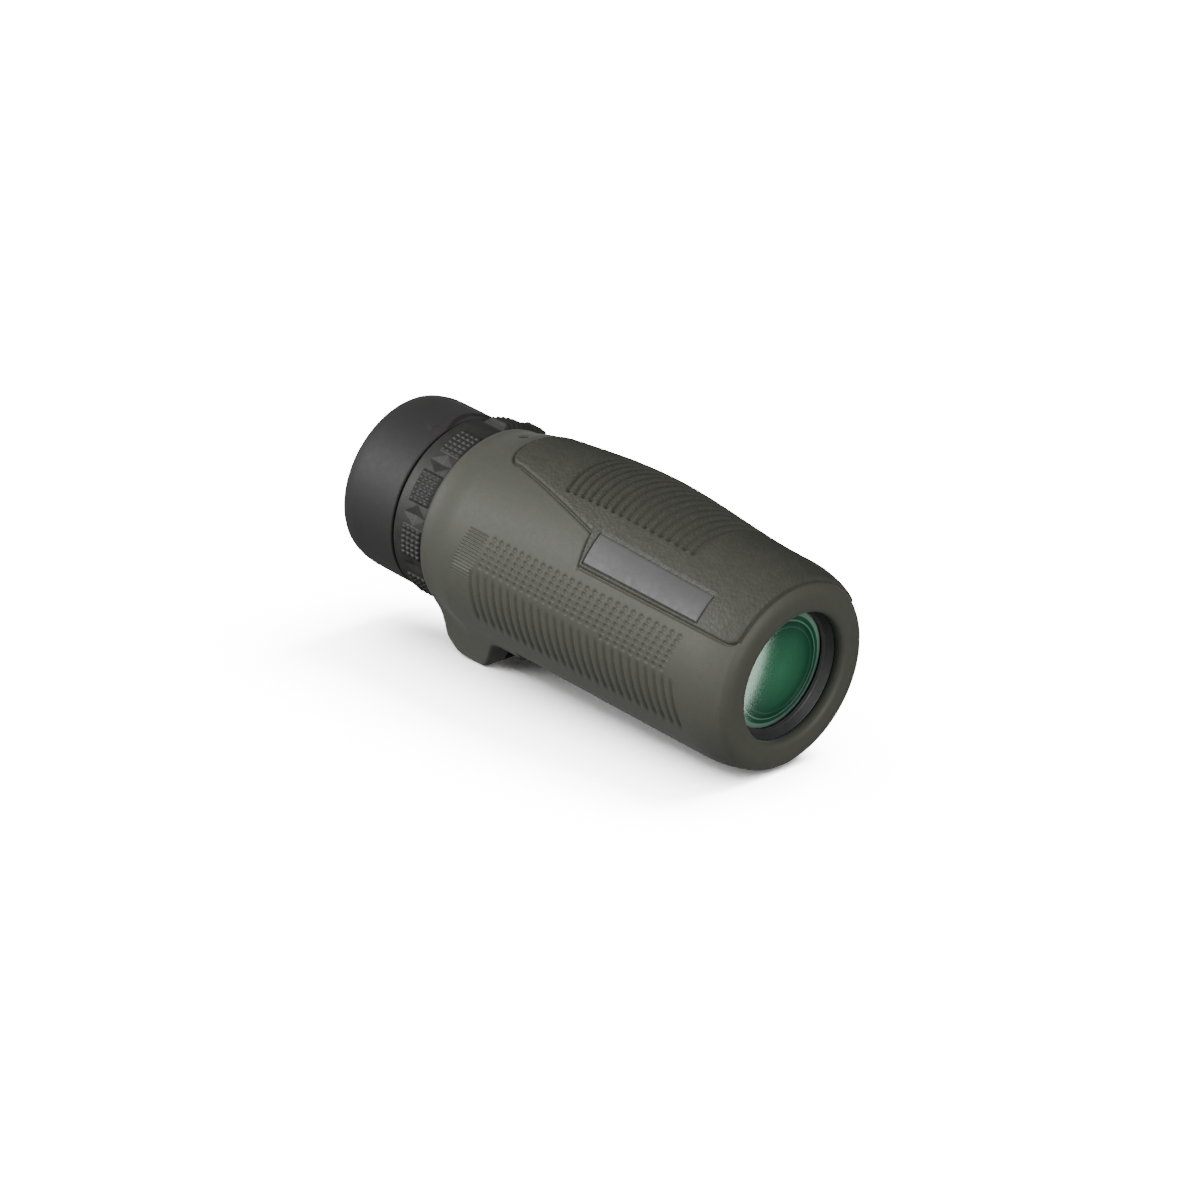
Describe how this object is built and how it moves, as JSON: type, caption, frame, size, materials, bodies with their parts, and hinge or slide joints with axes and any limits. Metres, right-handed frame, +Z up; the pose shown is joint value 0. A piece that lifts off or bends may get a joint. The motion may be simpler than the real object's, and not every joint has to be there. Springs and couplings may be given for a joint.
{
  "type": "monocular",
  "caption": "Compact rubber-armoured roof-prism monocular with a knurled focus ring, a twist-up eyecup, a ribbed top grip and a lanyard lug.",
  "frame": {"origin": "bottom centre of the bounding box, on the surface that the monocular lies on, resting on its lanyard lug and the foot of its front rim", "axes": "+X along the body towards the objective, +Z up from that surface towards the ribbed top, name plate on the -Y side; the optical axis lies in the XZ plane, 5.12 degrees nose down"},
  "size_m": [0.115, 0.045, 0.0504],
  "materials": {
    "armour_rubber": "matt olive green moulded rubber",
    "grip_rubber": "matt dark olive rubber with a pebbled leather grain",
    "name_plate": "satin dark grey, left blank",
    "black_rubber": "matt black knurled rubber",
    "eyecup_rubber": "satin black rubber",
    "black_plastic": "satin black moulded plastic",
    "black_metal": "black anodised, finely turned",
    "magnesium": "bare die cast, satin",
    "steel": "plain",
    "coated_glass": "polished, green multi-coating",
    "clear_glass": "polished"
  },
  "bodies": {
    "body": {"body_armour": "armour_rubber", "top_grip_panel": "grip_rubber", "name_plate": "name_plate", "focus_index_mark": "black_plastic", "housing_tube": "magnesium", "rear_collar": "black_metal", "guide_screw": "steel", "objective_retaining_ring": "black_metal", "objective_cell": "black_metal", "objective_crown_lens": "coated_glass", "objective_flint_lens": "clear_glass", "objective_baffle": "black_plastic", "prism_cage": "black_plastic", "half_penta_prism": "clear_glass", "schmidt_roof_prism": "clear_glass", "prism_clip_near": "steel", "prism_clip_far": "steel", "cage_screw_1": "steel", "cage_screw_2": "steel", "cage_screw_3": "steel"},
    "focus": {"focus_ring": "black_plastic", "focus_grip": "black_rubber"},
    "ocular": {"ocular_barrel": "black_plastic", "ocular_seal_ring": "black_rubber", "field_stop": "black_metal", "field_lens": "clear_glass", "front_spacer": "black_metal", "ocular_crown_lens": "clear_glass", "ocular_flint_lens": "clear_glass", "rear_spacer": "black_metal", "eye_lens": "coated_glass", "eye_lens_retainer": "black_plastic", "sleeve_retainer": "black_metal"},
    "cam_sleeve": {"eyecup_cam_sleeve": "black_plastic"},
    "eyecup": {"eyecup": "eyecup_rubber", "eyecup_core": "black_plastic"}
  },
  "joints": [
    {"name": "focus_turn", "type": "hinge", "parent": "body", "child": "focus", "pos_m": [-0.03507, 0, 0.02883], "axis": [-0.996, 0, 0.0892], "range_deg": [0, 200]},
    {"name": "ocular_slide", "type": "slide", "parent": "body", "child": "ocular", "axis": [-0.996, 0, 0.0892], "range_m": [0, 0.0028]},
    {"name": "eyecup_twist", "type": "hinge", "parent": "ocular", "child": "cam_sleeve", "pos_m": [-0.04603, 0, 0.02981], "axis": [-0.996, 0, 0.0892], "range_deg": [0, 110]},
    {"name": "eyecup_rise", "type": "slide", "parent": "cam_sleeve", "child": "eyecup", "axis": [-0.996, 0, 0.0892], "range_m": [0, 0.006]}
  ],
  "couplings": [
    {"joint": "focus_turn", "follows": "ocular_slide", "rad_per_m": 1246.6},
    {"joint": "eyecup_twist", "follows": "eyecup_rise", "rad_per_m": 319.97}
  ]
}
